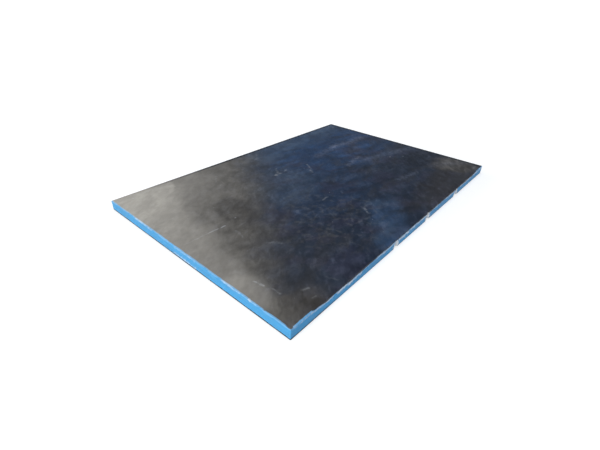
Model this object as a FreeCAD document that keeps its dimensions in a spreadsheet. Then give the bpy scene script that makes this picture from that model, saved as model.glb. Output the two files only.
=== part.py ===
# Film-faced plywood sheet: a pressed veneer core between two phenolic films, its four edges sealed with a
# coat of blue paint that rounds over the eased arrises, and three chips broken out of one long edge.
# Millimetres: X along the length, Y along the width, Z up, origin under the centre of the lower face.
import FreeCAD, Part
import os
import Sketcher

# Driving dimensions: alias, value and what it measures.
SIZES = [
    ("panel_length", 915.0, "overall length, paint included"),
    ("panel_width", 610.0, "overall width, paint included"),
    ("panel_thickness", 25.0, "overall thickness, films included"),
    ("film_thickness", 0.3, "one phenolic film"),
    ("seal_coat", 0.4, "paint on the flat of an edge"),
    ("arris_ease", 0.8, "slope taken off the core's arrises before painting"),
    ("film_reveal", 0.1, "how far a film stands proud of the paint's lip"),
    ("face_corner", 0.4, "corner radius of the film faces"),
    ("chip_turn", 20.0, "degrees that a chip's floor turns inward towards +X"),
    ("chip_depth", 4.2, "how far the floor lies behind the edge at a chip's middle, in the lower plies"),
    ("chip_ledge_depth", 3.2, "how far it lies behind the edge in the plies above the ledge"),
    ("chip_crest_depth", 1.8, "how far it still lies behind the edge at the crest"),
    ("chip_ledge_height", 10.0, "glue line where the lower plies let go"),
    ("chip_ledge_width", 13.0, "width of a chip at that glue line"),
    ("chip_crest_width", 6.0, "width of a chip at its crest"),
    ("near_chip_place", -108.0, "middle of the chip's foot along X"),
    ("near_chip_width", 17.0, "width of its foot at the lower arris"),
    ("near_chip_height", 21.0, "height of its crest"),
    ("near_chip_lean", 1.5, "how far the crest stands along X from the foot's middle"),
    ("middle_chip_place", 57.0, "middle of the chip's foot along X"),
    ("middle_chip_width", 20.0, "width of its foot at the lower arris"),
    ("middle_chip_height", 23.0, "height of its crest"),
    ("middle_chip_lean", -4.0, "how far the crest stands along X from the foot's middle"),
    ("far_chip_place", 240.0, "middle of the chip's foot along X"),
    ("far_chip_width", 22.0, "width of its foot at the lower arris"),
    ("far_chip_height", 21.0, "height of its crest"),
    ("far_chip_lean", 3.0, "how far the crest stands along X from the foot's middle"),
]
CHIPS = ["near", "middle", "far"]
NODES = ["veneer_core", "top_film", "bottom_film", "edge_seal"]

# How far a cutter passes the faces that it cuts.
OVERRUN = 2.0
LEVEL_TOLERANCE = 0.001


def fill_sheet(doc):
    """Put the driving dimensions in a spreadsheet, one row each, with the alias on the value."""
    sheet = doc.addObject("Spreadsheet::Sheet", "sizes")
    for row, (alias, value, meaning) in enumerate(SIZES, start=1):
        sheet.set(f"A{row}", alias)
        sheet.set(f"B{row}", str(value))
        sheet.setAlias(f"B{row}", alias)
        sheet.set(f"C{row}", meaning)
    doc.recompute()


def bind(target, prop, formula):
    """Bind a property to a formula in which the sheet's aliases are written in braces."""
    target.setExpression(prop, formula.replace("{", "sizes.").replace("}", ""))


def name_constraint(sketch, constraint, name, formula):
    """Add a dimension to a sketch and bind it."""
    index = sketch.addConstraint(constraint)
    sketch.renameConstraint(index, name)
    bind(sketch, f"Constraints.{name}", formula)


def draw_rounded_rectangle(sketch, length, width, corner):
    """Draw a rectangle with round corners, centred on the sketch's origin."""
    # Only the topology counts here: the dimensions below pull it to size.
    half_x = 40.0
    half_y = 30.0
    radius = 5.0
    inner_x = half_x - radius
    inner_y = half_y - radius

    def point(x, y):
        return FreeCAD.Vector(x, y, 0)

    sides = [
        (point(-inner_x, -half_y), point(inner_x, -half_y)),
        (point(half_x, -inner_y), point(half_x, inner_y)),
        (point(inner_x, half_y), point(-inner_x, half_y)),
        (point(-half_x, inner_y), point(-half_x, -inner_y)),
    ]
    centres = [
        point(inner_x, -inner_y),
        point(inner_x, inner_y),
        point(-inner_x, inner_y),
        point(-inner_x, -inner_y),
    ]
    quarter = FreeCAD.Units.parseQuantity("90 deg").getValueAs("rad").Value
    lines = [sketch.addGeometry(Part.LineSegment(*ends), False) for ends in sides]
    arcs = []
    for turn, centre in enumerate(centres):
        circle = Part.Circle(centre, FreeCAD.Vector(0, 0, 1), radius)
        arc = Part.ArcOfCircle(circle, (turn - 1) * quarter, turn * quarter)
        arcs.append(sketch.addGeometry(arc, False))

    start, end = 1, 2
    for turn in range(len(lines)):
        following = lines[(turn + 1) % len(lines)]
        sketch.addConstraint(Sketcher.Constraint("Tangent", lines[turn], end, arcs[turn], start))
        sketch.addConstraint(Sketcher.Constraint("Tangent", arcs[turn], end, following, start))
    for turn in (0, 2):
        sketch.addConstraint(Sketcher.Constraint("Horizontal", lines[turn]))
        sketch.addConstraint(Sketcher.Constraint("Vertical", lines[turn + 1]))
    for arc in arcs[1:]:
        sketch.addConstraint(Sketcher.Constraint("Equal", arcs[0], arc))
    sketch.addConstraint(Sketcher.Constraint("Symmetric", lines[0], start, lines[2], start, -1, 1))

    name_constraint(sketch, Sketcher.Constraint("Radius", arcs[0], radius), "corner", corner)
    across = Sketcher.Constraint("DistanceX", lines[3], start, lines[1], start, 2 * half_x)
    name_constraint(sketch, across, "across", length)
    along = Sketcher.Constraint("DistanceY", lines[0], start, lines[2], start, 2 * half_y)
    name_constraint(sketch, along, "along", width)


def make_slab(doc, name, inset, corner, floor, height):
    """Pad a rounded rectangle, inset from the panel's outline, from the level of its floor upwards."""
    body = doc.addObject("PartDesign::Body", name)
    sketch = body.newObject("Sketcher::SketchObject", f"{name}_outline")
    plane = next(part for part in body.Origin.OriginFeatures if part.Role == "XY_Plane")
    sketch.AttachmentSupport = (plane, [""])
    sketch.MapMode = "FlatFace"
    bind(sketch, "AttachmentOffset.Base.z", floor)
    draw_rounded_rectangle(
        sketch, f"{{panel_length}} - 2 * ({inset})", f"{{panel_width}} - 2 * ({inset})", corner
    )
    pad = body.newObject("PartDesign::Pad", f"{name}_pad")
    pad.Profile = sketch
    bind(pad, "Length", height)
    doc.recompute()
    return body


def rim_edges(shape):
    """Name the edges that lie in the upper or the lower face of a slab."""
    box = shape.BoundBox
    names = []
    for number, edge in enumerate(shape.Edges, start=1):
        levels = edge.BoundBox
        flat = levels.ZMax - levels.ZMin < LEVEL_TOLERANCE
        at_face = min(abs(levels.ZMax - box.ZMax), abs(levels.ZMin - box.ZMin)) < LEVEL_TOLERANCE
        if flat and at_face:
            names.append(f"Edge{number}")
    return names


def dress_rims(doc, body, kind, prop, size):
    """Chamfer or round the upper and lower rims of a slab."""
    slab = body.Tip
    dressing = body.newObject(f"PartDesign::{kind}", f"{body.Name}_rims")
    dressing.Base = (slab, rim_edges(slab.Shape))
    bind(dressing, prop, size)
    doc.recompute()


def make_core(doc):
    """The pressed veneers, one solid, with both arrises of every edge eased."""
    core = make_slab(
        doc,
        "core_blank",
        inset="{seal_coat}",
        corner="{face_corner} + {arris_ease}",
        floor="{film_thickness}",
        height="{panel_thickness} - 2 * {film_thickness}",
    )
    dress_rims(doc, core, "Chamfer", "Size", "{arris_ease}")
    return core


def make_film(doc, name, floor):
    """One phenolic film, which ends where the eased arris starts."""
    return make_slab(
        doc,
        name,
        inset="{seal_coat} + {arris_ease}",
        corner="{face_corner}",
        floor=floor,
        height="{film_thickness}",
    )


def make_seal(doc, sheet_pieces):
    """The coat of paint: the rounded outer form of the panel, less the pieces that it covers."""
    envelope = make_slab(
        doc,
        "painted_form",
        inset="0",
        corner="{face_corner} + {arris_ease} + {seal_coat}",
        floor="{film_reveal}",
        height="{panel_thickness} - 2 * {film_reveal}",
    )
    dress_rims(doc, envelope, "Fillet", "Radius", "{arris_ease} + {seal_coat}")
    covered = doc.addObject("Part::MultiFuse", "covered_pieces")
    covered.Shapes = sheet_pieces
    seal = doc.addObject("Part::Cut", "seal_blank")
    seal.Base = envelope
    seal.Tool = covered
    doc.recompute()
    return seal


def make_break(doc, name, place, foot, crest, top):
    """One lift of a chip: a wedge that narrows from the lower arris to its crest, turned askew in the edge.

    The foot and the crest are (width, depth) pairs, and the crest also has its lean along X.
    """
    foot_width, foot_depth = foot
    crest_width, crest_depth, lean = crest
    wedge = doc.addObject("Part::Wedge", name)
    base = f"create(<<vector>>; {place}; -{{panel_width}} / 2; 0)"
    turn = "create(<<rotation>>; {chip_turn}; 0; 90)"
    bind(wedge, "Placement", f"create(<<placement>>; {base}; {turn})")
    outward = f"{OVERRUN} + ({foot_width}) * sin({{chip_turn}} * 1 deg)"
    bind(wedge, "Xmax", f"({foot_width}) / 2")
    bind(wedge, "Xmin", f"-({foot_width}) / 2")
    bind(wedge, "X2max", f"{lean} + ({crest_width}) / 2")
    bind(wedge, "X2min", f"{lean} - ({crest_width}) / 2")
    wedge.Ymin = -OVERRUN
    bind(wedge, "Ymax", top)
    bind(wedge, "Zmin", f"-({foot_depth})")
    bind(wedge, "Z2min", f"-({crest_depth})")
    bind(wedge, "Zmax", outward)
    bind(wedge, "Z2max", outward)
    return wedge


def make_chips(doc):
    """The cutters of the three chips, each broken out in two lifts that part at a glue line."""
    lifts = []
    for chip in CHIPS:
        place = f"{{{chip}_chip_place}}"
        foot_width = f"{{{chip}_chip_width}}"
        top = f"{{{chip}_chip_height}}"
        lean = f"{{{chip}_chip_lean}}"
        ledge_lean = f"{lean} * {{chip_ledge_height}} / {top}"
        lifts.append(
            make_break(
                doc,
                f"{chip}_lower_break",
                place,
                foot=(foot_width, "{chip_depth}"),
                crest=("{chip_ledge_width}", "{chip_depth}", ledge_lean),
                top="{chip_ledge_height}",
            )
        )
        lifts.append(
            make_break(
                doc,
                f"{chip}_upper_break",
                place,
                foot=("{chip_ledge_width}", "{chip_ledge_depth}"),
                crest=("{chip_crest_width}", "{chip_crest_depth}", lean),
                top=top,
            )
        )
    chips = doc.addObject("Part::MultiFuse", "chips")
    chips.Shapes = lifts
    doc.recompute()
    return chips


def break_out(doc, node, blank, chips):
    """A finished piece: its blank with the chips broken out."""
    piece = doc.addObject("Part::Cut", node)
    piece.Label = node
    piece.Base = blank
    piece.Tool = chips
    return piece


def check(doc, pieces):
    """Stop if anything failed to build, before a file is written."""
    failed = [part.Label for part in doc.Objects if {"Invalid", "Error"} & set(part.State)]
    if failed:
        raise RuntimeError(f"failed to build: {failed}")
    for piece in pieces:
        if piece.Shape.isNull() or not piece.Shape.isValid():
            raise RuntimeError(f"no valid shape: {piece.Label}")
        if len(piece.Shape.Solids) != 1:
            raise RuntimeError(f"not one solid: {piece.Label}")


def main():
    doc = FreeCAD.newDocument("plywood_sheet")
    fill_sheet(doc)
    core = make_core(doc)
    top_film = make_film(doc, "top_film_blank", "{panel_thickness} - {film_thickness}")
    bottom_film = make_film(doc, "bottom_film_blank", "0")
    seal = make_seal(doc, [core, top_film, bottom_film])
    chips = make_chips(doc)
    blanks = [core, top_film, bottom_film, seal]
    pieces = [break_out(doc, node, blank, chips) for node, blank in zip(NODES, blanks)]
    doc.recompute()
    check(doc, pieces)
    os.makedirs("parts", exist_ok=True)
    for piece in pieces:
        piece.Shape.exportStep(f"parts/{piece.Label}.step")
        box = piece.Shape.BoundBox
        print(f"{piece.Label}: {piece.Shape.Volume / 1000:.2f} cm3,", f"z {box.ZMin:.2f} to {box.ZMax:.2f}")


main()
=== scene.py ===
"""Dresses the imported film-faced plywood sheet: its films, painted edges, broken chips, camera and studio."""
import math
from collections import namedtuple
from types import SimpleNamespace

import bpy
from bpy.props import FloatProperty, FloatVectorProperty, IntProperty, PointerProperty
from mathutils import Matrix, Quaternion, Vector, noise


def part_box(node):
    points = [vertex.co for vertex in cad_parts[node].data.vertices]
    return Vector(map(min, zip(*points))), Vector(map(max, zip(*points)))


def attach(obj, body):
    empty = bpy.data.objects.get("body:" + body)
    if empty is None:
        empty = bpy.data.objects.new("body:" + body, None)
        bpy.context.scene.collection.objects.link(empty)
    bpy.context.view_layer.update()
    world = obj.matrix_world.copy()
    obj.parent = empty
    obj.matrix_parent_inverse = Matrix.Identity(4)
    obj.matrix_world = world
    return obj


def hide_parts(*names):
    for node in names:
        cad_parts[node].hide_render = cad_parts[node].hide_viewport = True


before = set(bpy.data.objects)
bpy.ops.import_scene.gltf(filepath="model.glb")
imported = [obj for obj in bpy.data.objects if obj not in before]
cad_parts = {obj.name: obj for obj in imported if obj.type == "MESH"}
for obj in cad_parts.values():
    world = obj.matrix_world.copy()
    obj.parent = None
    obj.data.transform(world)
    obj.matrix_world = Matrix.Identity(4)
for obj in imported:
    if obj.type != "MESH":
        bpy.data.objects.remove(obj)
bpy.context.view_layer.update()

bl_info = {
    "name": "Film-faced plywood sheet",
    "version": (1, 0, 0),
    "blender": (4, 5, 0),
    "location": "3D View > Sidebar > Plywood",
    "description": "Builds the looks of a phenolic plywood sheet around its packed solids",
    "category": "Object",
}

MM = 0.001
BODY = "root"

# Chips of the right-hand long edge: middle along X, foot width, crest height and lean of the crest.
Chip = namedtuple("Chip", "place foot crest lean")
CHIPS = [
    Chip(-108 * MM, 17 * MM, 21 * MM, 1.5 * MM),
    Chip(57 * MM, 20 * MM, 23 * MM, -4 * MM),
    Chip(240 * MM, 22 * MM, 21 * MM, 3 * MM),
]
CHIP_TURN = math.radians(20)
CHIP_DEPTH = 4.2 * MM
CHIP_LEDGE_DEPTH = 3.2 * MM
CHIP_CREST_DEPTH = 1.8 * MM
CHIP_LEDGE_HEIGHT = 10 * MM
CHIP_LEDGE_WIDTH = 13 * MM
CHIP_CREST_WIDTH = 6 * MM

# The cutter of the chips: its columns, half the gap between two plies, how far it passes a chip at the sides,
# below and in front, and how far its inner face stands off where nothing is broken.
CUTTER_COLUMNS = 72
CUTTER_SEAM = 0.04 * MM
CUTTER_SIDES = 2 * MM
CUTTER_BELOW = 2 * MM
CUTTER_FRONT = 1.5 * MM
CUTTER_CLEAR = 1 * MM

# How unevenly a chip breaks, as a least share and its spread: the near and far walls of a ply, its depth and
# the torn floor, whose tears have a length and a height.
NEAR_WALL = (0.85, 0.35)
FAR_WALL = (0.85, 0.30)
PLY_DEPTH = (0.80, 0.40)
TORN_FLOOR = (0.80, 0.40)
TEAR_LENGTH = 1.1 * MM
TEAR_HEIGHT = 0.9 * MM

# Mesh steps of the round corners, the round arrises, the height of an edge and the sides of the core.
CORNER_STEPS = 8
ARRIS_STEPS = 7
EDGE_ROW = 0.5 * MM
CORE_STEP = 200 * MM

# Depth of the relief: the film's waves and pores, then the ply lines, runs and grain of the paint.
FILM_WAVES = 0.05 * MM
FILM_PORES = 0.004 * MM
PAINT_PLIES = 0.06 * MM
PAINT_RUNS = 0.08 * MM
PAINT_GRAIN = 0.04 * MM

# Length along the edge and height of the paint's runs and grain.
RUNS_SPAN = (30 * MM, 12 * MM)
GRAIN_SPAN = (4 * MM, 3 * MM)

# The lap of paint over the film: its least share and spread, the length of its rags and of its wide daubs,
# the daubs' share, and where it runs out on the long side, from the near end.
LAP_SHARE = (0.2, 0.7)
LAP_RAGS = 14 * MM
LAP_DAUBS = 55 * MM
LAP_DAUB_SHARE = 1.1
LAP_END = (45 * MM, 85 * MM)

# Dents in the upper arris: their length, and their depth off the chipped long side as a share.
DENT_LENGTH = 22 * MM
DENT_ELSEWHERE = 0.45

# Marks on the upper film in millimetres: start, end, half width and strength.
SCRATCHES = [
    ((-440, 12), (-385, 12), 2.4, 0.18),
    ((-385, 12), (-335, 10), 2.4, 0.34),
    ((-418, -178), (-414, -198), 3.2, 0.28),
    ((32, 58), (42, 70), 6.0, 0.20),
    ((48, 72), (66, 104), 5.5, 0.15),
    ((-84, -75), (-62, -74), 5.0, 0.14),
    ((-56, -198), (-42, -172), 6.0, 0.16),
    ((-42, -172), (-14, -176), 5.0, 0.09),
    ((-60, 119), (-42, 118), 7.0, 0.25),
    ((-48, 120), (-24, 152), 6.0, 0.14),
    ((-20, 240), (14, 280), 5.0, 0.06),
    ((-210, 203), (-188, 234), 4.0, 0.07),
    ((-331, -23), (-337, -51), 5.0, 0.08),
    ((-311, -13), (-292, -13), 4.0, 0.06),
    ((-314, -107), (-296, -130), 6.0, 0.09),
    ((-410, -217), (-409, -235), 3.5, 0.12),
    ((-374, -258), (-364, -262), 5.0, 0.13),
    ((-378, -284), (-370, -286), 3.0, 0.10),
    ((-317, -267), (-308, -291), 4.0, 0.04),
    ((-426, -130), (-418, -142), 10.0, 0.06),
    ((-25, 244), (-16, 249), 5.0, 0.14),
    ((-202, 219), (-194, 223), 4.0, 0.12),
    ((-215, 179), (-208, 183), 4.0, 0.10),
    ((-20, 118), (-12, 123), 5.0, 0.20),
    ((-14, -87), (-8, -83), 5.0, 0.10),
    ((-146, 2), (-128, 2), 6.0, 0.06),
    ((418, 268), (432, 274), 7.0, 0.10),
    ((416, -291), (432, -288), 6.0, 0.16),
]

# Wide streaks wiped over the film in millimetres: start, end, half width and strength.
STREAKS = [
    ((140, 124), (260, 136), 22, 0.120),
    ((250, 136), (400, 124), 26, 0.170),
    ((225, -2), (440, -62), 30, 0.110),
    ((150, 8), (236, 22), 13, 0.190),
    ((170, -158), (260, -172), 15, 0.130),
    ((60, -40), (190, -75), 26, 0.050),
    ((-40, 75), (60, 150), 30, 0.040),
    ((345, -180), (450, -262), 26, 0.070),
]

# Stretches of paint worn pale, with a painted highlight of the arris, in millimetres: start and end as (place
# along the edge, height), half width and strength. The near side is measured along Y, the long side along X.
NEAR_WEAR_AND_HIGHLIGHTS = [
    ((185, 25), (115, 24), 3.5, 0.60),
    ((25, 23), (-45, 23), 3.5, 0.35),
    ((-130, 25), (-182, 24), 3.5, 0.45),
    ((-205, 25), (-222, 24), 4.0, 0.60),
    ((28, 7), (-48, 6), 3.5, 0.65),
]
LONG_WEAR_AND_HIGHLIGHTS = [
    ((-452, 23), (-405, 22), 4.0, 0.45),
    ((-405, 20), (-345, 18), 4.5, 0.80),
    ((-330, 18), (-285, 16), 6.0, 1.40),
    ((-278, 16), (-250, 16), 4.5, 0.80),
    ((-200, 18), (-130, 17), 4.5, 0.80),
    ((-100, 16), (-50, 16), 6.0, 1.20),
    ((-45, 17), (10, 16), 5.0, 0.90),
    ((15, 19), (50, 17), 6.0, 1.20),
    ((185, 17), (225, 16), 4.0, 0.60),
    ((270, 19), (390, 17), 4.5, 0.75),
    ((395, 20), (452, 21), 5.0, 0.95),
]

# Paint flaked off beside each chip: half width in millimetres and strength.
CHIP_FLAKING = (9, 1.3)

# Soft patches on the film in millimetres: centre, radii, raggedness of the edge and strength.
# The blue band and the navy patches are a painted reflection of a blue sky.
BLUE_BAND = [
    ((-102, -298), (72, 56), 0.7, 1.0),
    ((-54, -250), (74, 54), 0.7, 0.8),
    ((2, -206), (84, 52), 0.7, 0.65),
]
NAVY_PATCHES = [
    ((250, 160), (400, 250), 0.6, 1.0),
    ((-40, -20), (260, 170), 0.7, 0.45),
]
WARM_PATCHES = [
    ((400, -240), (120, 95), 0.9, 1.0),
    ((-440, -280), (120, 70), 0.7, 1.0),
    ((280, -290), (270, 110), 0.8, 0.65),
]
# A painted reflection of a pale sky in the middle of the film.
SKY_REFLECTION_PATCH = ((-110, 70), (200, 120), 0.8, 0.40)
CALM_PATCH = ((190, 230), (270, 150), 0.5, 1.0)
# Dust with a painted sheen of a bright sky at the cream corner.
CREAM_PATCH = ((-400, 292), (128, 104), 0.5, 1.0)
WIPED_PATCH = ((-272, 45), (62, 100), 0.8, 1.0)
NEAR_DUST = ((-445, -182), (48, 80), 0.7, 0.09)
FAR_DUST = ((405, -240), (82, 86), 1.2, 1.0)
RESIDUE_PATCH = ((-140, -150), (190, 160), 0.8, 0.05)

# Sooty patches with a firmer rim: the patch, the levels between which it shows, and its strength.
SOOT_PATCHES = [
    (((385, -135), (130, 64), 0.8, 1.0), (0.2, 0.7), 0.85),
    (((235, -238), (130, 38), 0.8, 1.0), (0.2, 0.8), 0.75),
]

# The direction over the film in which the dust and its painted sheen of a bright sky thicken.
DIAGONAL = (-0.796, 0.605)

# Fronts on the film in millimetres: origin, direction, reach and raggedness.
# Dust with a painted sheen of a bright sky: the grey front, its tail and the cream corner.
GREY_DUST_AND_SHEEN_FRONT = ((33, 305), DIAGONAL, 325, 0.3)
TAIL_FRONT = ((240, 305), DIAGONAL, 200, 0.6)
WARM_FRONT = ((69, 287), DIAGONAL, 120, 1.2)
# A painted reflection of a pale sky towards the far edge.
SKY_REFLECTION_FRONT = ((150, 180), (-0.1, 0.995), 110, 0.7)
CREAM_FRONT = ((-356, 0), (-0.985, 0.17), 46, 1.5)
CREAM_FOOT = ((0, -310), (0, 1), 90, 0.5)
DUST_AND_SHEEN_FOOT = ((0, 20), (0, 1), 200, 0.5)
# Painted shade along the far rims.
FAR_RIM = ((0, 293), (0, 1), 6, 0.4)
FAR_RIM_START = ((-440, 0), (1, 0), 330, 0.3)
END_RIM = ((444, 0), (1, 0), 7, 0.4)

# Wiped textures of the film: waves in a metre along and across, turn in degrees, the levels between which the
# texture shows, and its detail.
SMEARS = {
    "wiped": ((6, 26), 8, (0.36, 0.66), 6.0),
    "sooty": ((9, 24), 12, (0.48, 0.64), 6.0),
    "cloud": ((13, 17), -30, (0.34, 0.68), 6.0),
    "daubs": ((27, 49), -42, (0.36, 0.66), 2.6),
    "mottle": ((70, 122), -42, (0.34, 0.68), 2.2),
    "scuffs": ((48, 84), -38, (0.52, 0.68), 6.0),
    "wipes": ((26, 70), -30, (0.50, 0.66), 3.0),
    "violet": ((8, 15), 35, (0.48, 0.58), 6.0),
    "brown": ((10, 22), -20, (0.48, 0.64), 6.0),
}

# Strength of the layers on the film, from the bare resin up.
VIOLET_CAST = 0.5
BROWN_CAST = 0.35
SOOT_SMEARS = 0.45
# Painted reflection of a pale sky: its strength at the far front and over the blue band.
SKY_REFLECTION_STRENGTH = 0.9
BAND_SKY_REFLECTION = 0.48
# Dust with a painted sheen of a bright sky: the grey front's levels, and the tail's and cream corner's
# strength.
GREY_DUST_AND_SHEEN_LEVELS = (0.48, 0.54)
TAIL_DUST_AND_SHEEN = 0.035
CREAM_DUST_AND_SHEEN = 0.18
DAUBED_DUST = (0.04, 0.10)
WIPED_SCUFFS = 0.04
FINE_SCUFFS = 0.05
GRIT_MARKS = 0.14
FLECK_MARKS = 0.20
RIM_SHADE = 0.85

# Shares of the dust and painted sheen left where they are thinned or wiped, and from thin to thick in each
# wiped texture.
THINNED_DUST_AND_SHEEN = 0.80
WIPED_DUST_AND_SHEEN = 0.62
DUST_AND_SHEEN_TEXTURES = {"mottle": (0.98, 1.02), "daubs": (0.96, 1.03), "wipes": (1.01, 0.95), "cloud": (0.94, 1.05)}

# Dark and light blotches of the film: the weight of each wiped texture, their mean, the thin and thick dust
# and painted sheen between which they fade, and their depth in each.
BLOTCHES = {"mottle": 0.4, "daubs": 0.7, "cloud": 1.0}
BLOTCH_MEAN = 1.05
BLOTCH_DUST_AND_SHEEN = (0.05, 0.35)
BLOTCH_DEPTH = (0.24, 0.02)

# The line where the paint ends and bare film begins: its rise over the upper face where the paint is whole,
# its drop on the long side and the far sides, its sway off and on the long side, and half its blur.
BARE_RISE = 0.5 * MM
LONG_DROP = 5.6 * MM
# On the far sides the bare film shows the film colour with its painted shade along the far rims.
FAR_DROP = 3.0 * MM
BARE_SWAY = (4.0 * MM, 9.0 * MM)
BARE_BLUR = 0.35 * MM

# Paint worn pale, with a painted highlight of the arris, below the bare film: how far down, half its blur, and
# its strength off and on the long side.
PALE_STRIP_REACH = 4.5 * MM
PALE_STRIP_BLUR = 0.8 * MM
PALE_STRIP_STRENGTH = (0.12, 0.55)

# Insets from the sheet's edge over which a side of the paint begins, and those from the ends over which the
# long side's bare film fades out.
SIDE_INSETS = (6 * MM, 2 * MM)
END_INSETS = (95 * MM, 45 * MM)

# Where the paint laps thinly over the film: the depth over which it thins and how much film shows through.
THIN_LAP = 0.3 * MM
LAP_SHOWS_FILM = 0.34

# A painted contact shadow at the foot of the edges: its least and greatest height, its fade below and above
# that, and the stretch from the near end over which it weakens to a share.
FOOT_SHADE_HEIGHT = (3.0 * MM, 4.0 * MM)
FOOT_SHADE_FADE = (-0.6 * MM, 0.5 * MM)
FOOT_SHADE_STRETCH = (60 * MM, 160 * MM)
FOOT_SHADE_LEFT = 0.3

# Shades of the paint as shares of its colour, and the strength of its layers.
DARK_PAINT = 0.62
LIGHT_PAINT = 1.2
GLUE_LINES = 0.22
PAINT_CLOUDS = 0.15
PAINT_GRIT = 0.4

# The round floor: its rings, how far it is flat, how high its rim rises, its spokes and its gap to the sheet.
FLOOR_RADII = [0.5, 1.0, 2.0, 4.0, 7.0, 9.0, 11.0, 13.0, 15.0, 17.0]
FLOOR_FLAT = 7.0
FLOOR_RISE = 2.2
FLOOR_SPOKES = 96
FLOOR_GAP = 0.5 * MM

# The floor's own glow: the distances from the sheet's middle over which it rises, and its strength at each.
GLOW_REACH = (0.4, 2.2)
GLOW_STRENGTH = (0.60, 1.0)

# The camera's sensor in millimetres and the nearest and farthest distance that it sees.
CAMERA_SENSOR = 36.0
CAMERA_CLIP = (0.01, 100.0)

# Soft lamps round the sheet.
Softbox = namedtuple("Softbox", "name place aim size radiance colour")
SOFTBOXES = [
    Softbox("glare_softbox", (-0.30, 2.35, 1.10), (-0.3, 0.0, 0.0), (2.0, 1.2), 3.0, (1.0, 0.97, 0.92)),
    Softbox("key_softbox", (-2.20, -0.58, 1.20), (0.0, 0.0, 0.0), (1.6, 1.2), 6.5, (1.0, 0.99, 0.97)),
    Softbox("top_softbox", (0.2, 0.0, 2.60), (0.2, 0.0, 0.0), (1.8, 1.8), 2.0, (1.0, 1.0, 1.0)),
]


class SheetSizes(bpy.types.PropertyGroup):
    """Sizes of the sheet's fine detail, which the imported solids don't state."""

    face_corner: FloatProperty(
        name="Face corner", description="Corner radius of the film faces", unit="LENGTH", default=0.4 * MM
    )
    ply_count: IntProperty(name="Plies", description="Veneers in the core", default=17, min=3)
    lip_height: FloatProperty(
        name="Lip height", description="Thickness of the paint's lip", unit="LENGTH", default=0.05 * MM
    )
    lip_width: FloatProperty(
        name="Lip width", description="Reach of the paint's lip", unit="LENGTH", default=0.3 * MM
    )
    lap_width: FloatProperty(
        name="Lap width", description="Reach of the lap by the near end", unit="LENGTH", default=2.6 * MM
    )
    arris_dents: FloatProperty(
        name="Arris dents", description="Deepest wear of the upper arris", unit="LENGTH", default=0.5 * MM
    )
    film_step: FloatProperty(
        name="Film step", description="Mesh spacing of the films", unit="LENGTH", default=6 * MM
    )
    seal_step: FloatProperty(
        name="Seal step", description="Mesh spacing along the edges", unit="LENGTH", default=3 * MM
    )


class SheetColours(bpy.types.PropertyGroup):
    """Colours of the films, the paint and the wood."""

    film: FloatVectorProperty(
        name="Film", description="Phenolic film", subtype="COLOR", default=(0.014, 0.022, 0.038)
    )
    # A painted reflection of a blue sky, given as a navy film colour.
    film_navy: FloatVectorProperty(
        name="Navy film", description="Film with a blue cast", subtype="COLOR", default=(0.016, 0.046, 0.112)
    )
    film_violet: FloatVectorProperty(
        name="Violet film", description="Film, violet cast", subtype="COLOR", default=(0.030, 0.031, 0.056)
    )
    # A painted reflection of a pale sky, given as a pale blue film colour.
    film_sky_reflection: FloatVectorProperty(
        name="Film sky reflection", description="Film under pale haze", subtype="COLOR", default=(0.058, 0.092, 0.140)
    )
    film_warm: FloatVectorProperty(
        name="Warm film", description="Film, warm grey cast", subtype="COLOR", default=(0.034, 0.031, 0.029)
    )
    # Cement dust, whose colour also paints a sheen of a bright sky towards the near end.
    dust_and_sheen: FloatVectorProperty(
        name="Dust and sheen", description="Cement dust on the film", subtype="COLOR", default=(0.50, 0.47, 0.41)
    )
    scuff: FloatVectorProperty(
        name="Scuffs", description="Scuffs and wiped streaks", subtype="COLOR", default=(0.34, 0.38, 0.51)
    )
    scratch: FloatVectorProperty(
        name="Scratches", description="Residue in the scratches", subtype="COLOR", default=(0.58, 0.60, 0.62)
    )
    paint: FloatVectorProperty(
        name="Edge paint", description="Blue edge paint", subtype="COLOR", default=(0.080, 0.375, 0.700)
    )
    # Paint worn pale, also used as a painted highlight on the upper arris.
    worn_paint_and_highlight: FloatVectorProperty(
        name="Worn paint and highlight", description="Paint rubbed pale", subtype="COLOR", default=(0.82, 0.91, 0.99)
    )
    # A painted contact shadow: a dark colour at the foot of the edges.
    foot_shade: FloatVectorProperty(
        name="Foot shade", description="Dirt at the lower arris", subtype="COLOR", default=(0.008, 0.030, 0.050)
    )
    veneer: FloatVectorProperty(
        name="Veneer", description="Torn face grain", subtype="COLOR", default=(0.91, 0.94, 0.96)
    )
    end_grain: FloatVectorProperty(
        name="End grain", description="Torn end grain", subtype="COLOR", default=(0.89, 0.91, 0.92)
    )
    glue: FloatVectorProperty(
        name="Glue line", description="Resin between the plies", subtype="COLOR", default=(0.66, 0.63, 0.60)
    )


class StageSettings(bpy.types.PropertyGroup):
    """Camera, floor and surround."""

    camera_place: FloatVectorProperty(
        name="Camera",
        description="Where the camera stands",
        subtype="TRANSLATION",
        default=(-0.7502, -0.5639, 0.4746),
    )
    camera_aim: FloatVectorProperty(
        name="Aim",
        description="Point that the camera faces",
        subtype="TRANSLATION",
        default=(-0.2145, -0.1120, 0.0250),
    )
    camera_roll: FloatProperty(
        name="Roll", description="Turn about the camera's axis", subtype="ANGLE", default=math.radians(1.918)
    )
    camera_lens: FloatProperty(name="Lens", description="Focal length in millimetres", default=21.61)
    floor_colour: FloatVectorProperty(
        name="Floor", description="Colour of the floor", subtype="COLOR", default=(0.52, 0.52, 0.52)
    )
    world_colour: FloatVectorProperty(
        name="Surround", description="Pale light from all round", subtype="COLOR", default=(0.27, 0.31, 0.38)
    )


class PlywoodSettings(bpy.types.PropertyGroup):
    """All settings of the sheet."""

    sizes: PointerProperty(type=SheetSizes)
    colours: PointerProperty(type=SheetColours)
    stage: PointerProperty(type=StageSettings)


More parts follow.
